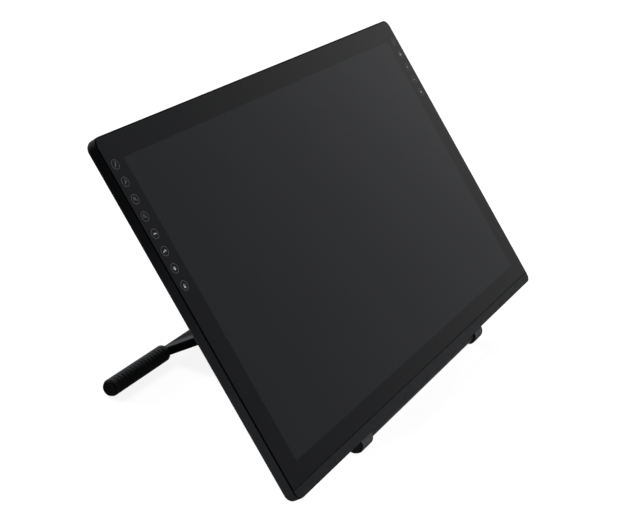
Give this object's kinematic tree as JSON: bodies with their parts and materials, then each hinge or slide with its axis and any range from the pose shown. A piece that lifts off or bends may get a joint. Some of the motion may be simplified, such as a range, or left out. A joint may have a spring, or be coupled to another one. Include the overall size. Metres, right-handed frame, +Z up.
{
  "type": "graphics tablet with screen",
  "caption": "Pen display that leans back on a folding stand: glass front with touch keys, shell, hinged rear leg with ribbed rubber sleeves, release lever.",
  "frame": {"origin": "middle of the footprint on the desk, under the standing tablet", "axes": "+X to the user's right along the tablet's width, +Y away from the user, +Z up"},
  "size_m": [0.5234, 0.2666, 0.2835],
  "materials": {
    "glass": "gloss, black printed border, satin lit area",
    "trim": "fine matte",
    "cover": "fine grain matte",
    "frame": "matte",
    "cell": "satin",
    "tray": "white",
    "board": "solder mask",
    "shield": "rolled sheet",
    "port_metal": "plated",
    "port_plastic": "moulded",
    "brass": "turned",
    "screw": "black oxide",
    "plate": "satin powder coat",
    "bar": "satin powder coat",
    "rubber": "matte, fine ribs on the rear sleeves",
    "steel": "turned",
    "washer": "plain",
    "leg": "dark satin coat",
    "lever": "black satin coat"
  },
  "bodies": {
    "tablet": {"cover_glass": "glass", "bottom_trim": "trim", "mid_frame": "frame", "rear_cover": "cover", "screen_cell": "cell", "backlight_tray": "tray", "sensor_board": "board", "shield_sheet": "shield", "main_board": "board", "key_board_left": "board", "key_board_right": "board", "hdmi_port": "port_metal", "usb_port": "port_metal", "power_inlet": "port_plastic", "case_screw_1": "screw", "case_screw_2": "screw", "case_screw_3": "screw", "case_screw_4": "screw", "case_screw_5": "screw", "case_screw_6": "screw", "arm_insert_1": "brass", "arm_insert_2": "brass", "arm_insert_3": "brass", "arm_insert_4": "brass", "stand_insert_1": "brass", "stand_insert_2": "brass", "stand_insert_3": "brass", "stand_insert_4": "brass", "stand_screw_1": "screw", "stand_screw_2": "screw", "stand_screw_3": "screw", "stand_screw_4": "screw", "stand_plate": "plate", "front_bar": "bar", "front_foot_left": "rubber", "front_foot_right": "rubber", "front_cap_left": "rubber", "front_cap_right": "rubber", "hinge_shaft": "steel", "brake_drum": "steel", "friction_washer_left": "washer", "friction_washer_right": "washer", "disc_spring_left": "steel", "disc_spring_right": "steel", "lock_nut_left": "steel", "lock_nut_right": "steel"},
    "leg": {"rear_leg": "leg", "rear_rod": "steel", "rear_sleeve_left": "rubber", "rear_sleeve_right": "rubber", "rear_cap_left": "rubber", "rear_cap_right": "rubber", "lever_pin": "steel", "lever_spring": "steel"},
    "lever": {"release_lever": "lever"}
  },
  "joints": [
    {"name": "leg_fold", "type": "hinge", "parent": "tablet", "child": "leg", "pos_m": [0, -0.03745, 0.09434], "axis": [1, 0, 0], "range_deg": [-40, 84.32]},
    {"name": "lever_press", "type": "hinge", "parent": "leg", "child": "lever", "pos_m": [0, -0.02319, 0.07429], "axis": [1, 0, 0], "range_deg": [0, 8], "stiffness_Nm_per_rad": 0.6, "springref_deg": -14.32}
  ]
}
